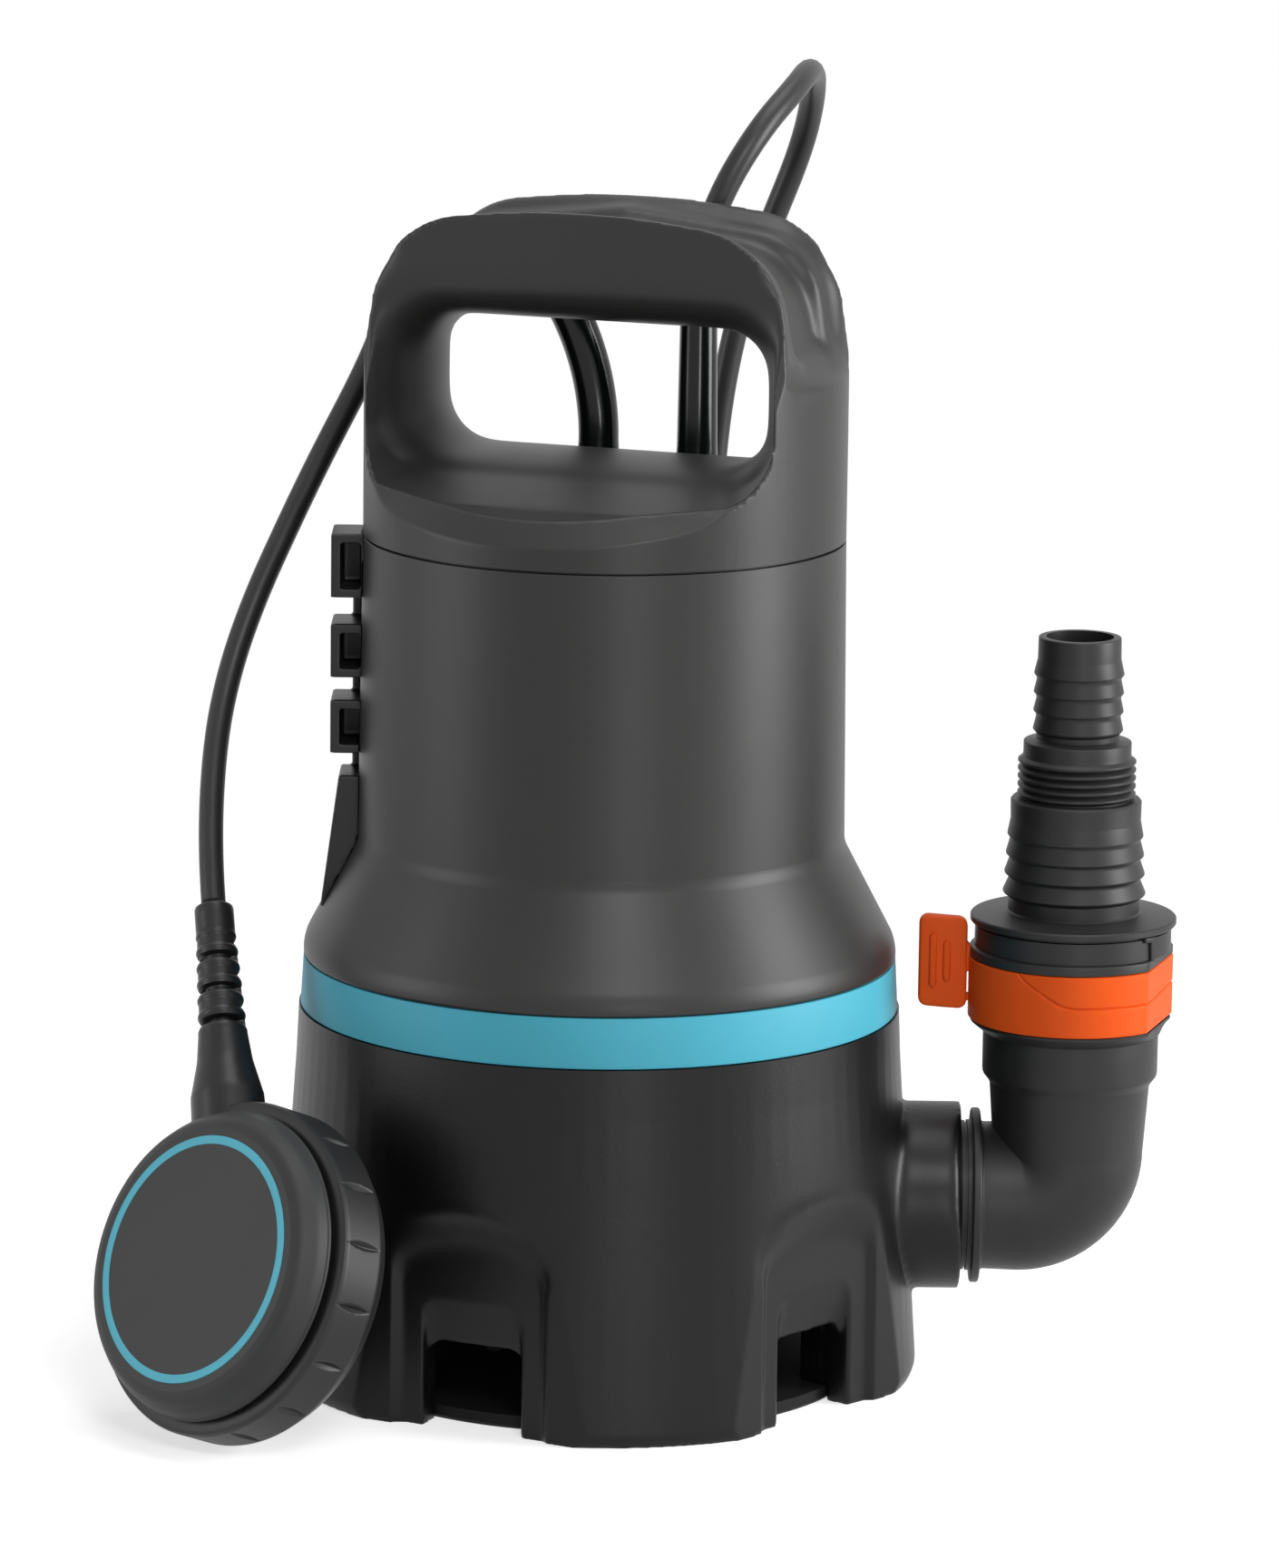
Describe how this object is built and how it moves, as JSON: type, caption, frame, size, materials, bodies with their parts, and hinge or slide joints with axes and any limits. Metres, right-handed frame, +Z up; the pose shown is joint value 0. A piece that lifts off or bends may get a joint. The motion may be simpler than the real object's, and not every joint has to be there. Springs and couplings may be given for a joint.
{
  "type": "submersible sump pump",
  "caption": "Upright submersible pump with carrying handle, slotted base, float switch on a cable, swivelling outlet elbow, locking collar, stepped hose connector and a coiled mains lead.",
  "frame": {"origin": "on the pump's shaft axis, in the plane of the floor that its base stands on", "axes": "+X along the level outlet, +Y away from the viewer of the picture, +Z up the shaft"},
  "size_m": [0.3001, 0.4058, 0.3655],
  "materials": {
    "dark_plastic": "satin dark grey",
    "teal_plastic": "satin teal",
    "orange_plastic": "satin orange",
    "black_plastic": "semi-gloss black",
    "float_plastic": "matte near black",
    "blue_plastic": "matte blue",
    "black_rubber": "smooth black",
    "cable_sheath": "satin black",
    "steel": "bright",
    "core_steel": "dull laminations",
    "cast_aluminium": "cast",
    "winding_copper": "varnished copper wire",
    "pale_plastic": "matte pale"
  },
  "bodies": {
    "pump": {"base_plate": "dark_plastic", "base_screws": "steel", "cable_clamp": "dark_plastic", "clamp_screws": "steel", "clip_rail": "dark_plastic", "coil_tie": "cable_sheath", "float_gland": "black_rubber", "handle_cap": "dark_plastic", "lower_bearing_balls": "steel", "lower_bearing_outer_race": "steel", "lower_shaft_seal": "black_rubber", "lower_winding": "winding_copper", "mains_cable": "cable_sheath", "mains_coil": "cable_sheath", "mains_gland": "black_rubber", "mains_plug": "cable_sheath", "mains_tail": "cable_sheath", "motor_can": "steel", "motor_housing": "dark_plastic", "plug_pins": "steel", "pump_base": "dark_plastic", "pump_cover": "black_plastic", "start_capacitor": "cast_aluminium", "stator_core": "core_steel", "terminal_block": "black_plastic", "thermal_cutout": "pale_plastic", "tie_rods": "steel", "trim_ring": "teal_plastic", "upper_bearing_balls": "steel", "upper_bearing_outer_race": "steel", "upper_bracket": "black_plastic", "upper_shaft_seal": "black_rubber", "upper_winding": "winding_copper", "volute_casing": "black_plastic"},
    "rotor": {"motor_shaft": "steel", "rotor_core": "core_steel", "rotor_upper_end_ring": "cast_aluminium", "rotor_lower_end_ring": "cast_aluminium", "lower_bearing_inner_race": "steel", "upper_bearing_inner_race": "steel", "impeller": "black_plastic", "impeller_nut": "steel"},
    "elbow": {"outlet_elbow": "black_plastic", "elbow_seal": "black_rubber"},
    "collar": {"lock_collar": "orange_plastic"},
    "connector": {"hose_connector": "black_plastic", "connector_seal": "black_rubber"},
    "float": {"float_front_shell": "float_plastic", "float_rear_shell": "float_plastic", "float_face_ring": "blue_plastic", "float_boot": "black_rubber", "float_micro_switch": "pale_plastic", "switch_ball_tube": "pale_plastic", "float_cable": "cable_sheath"},
    "ball": {"switch_ball": "steel"}
  },
  "joints": [
    {"name": "rotor_spin", "type": "hinge", "parent": "pump", "child": "rotor", "pos_m": [0, 0, 0.15], "axis": [0, 0, 1], "continuous": true},
    {"name": "elbow_swivel", "type": "hinge", "parent": "pump", "child": "elbow", "pos_m": [0.0925, 0, 0.05], "axis": [1, 0, 0], "range_deg": [-90, 90]},
    {"name": "collar_turn", "type": "hinge", "parent": "elbow", "child": "collar", "pos_m": [0.1333, 0, 0.1111], "axis": [0, 0, 1], "range_deg": [0, 50]},
    {"name": "connector_lift", "type": "slide", "parent": "elbow", "child": "connector", "axis": [0, 0, 1], "range_m": [0, 0.025]},
    {"name": "float_swing", "type": "hinge", "parent": "pump", "child": "float", "pos_m": [-0.06, 0.054, 0.296], "axis": [-0.9629, 0.27, 0], "range_deg": [0, 100], "deforming": ["float_cable"]},
    {"name": "ball_roll", "type": "slide", "parent": "float", "child": "ball", "axis": [-0.1006, 0.5792, 0.8089], "range_m": [0, 0.025]}
  ]
}
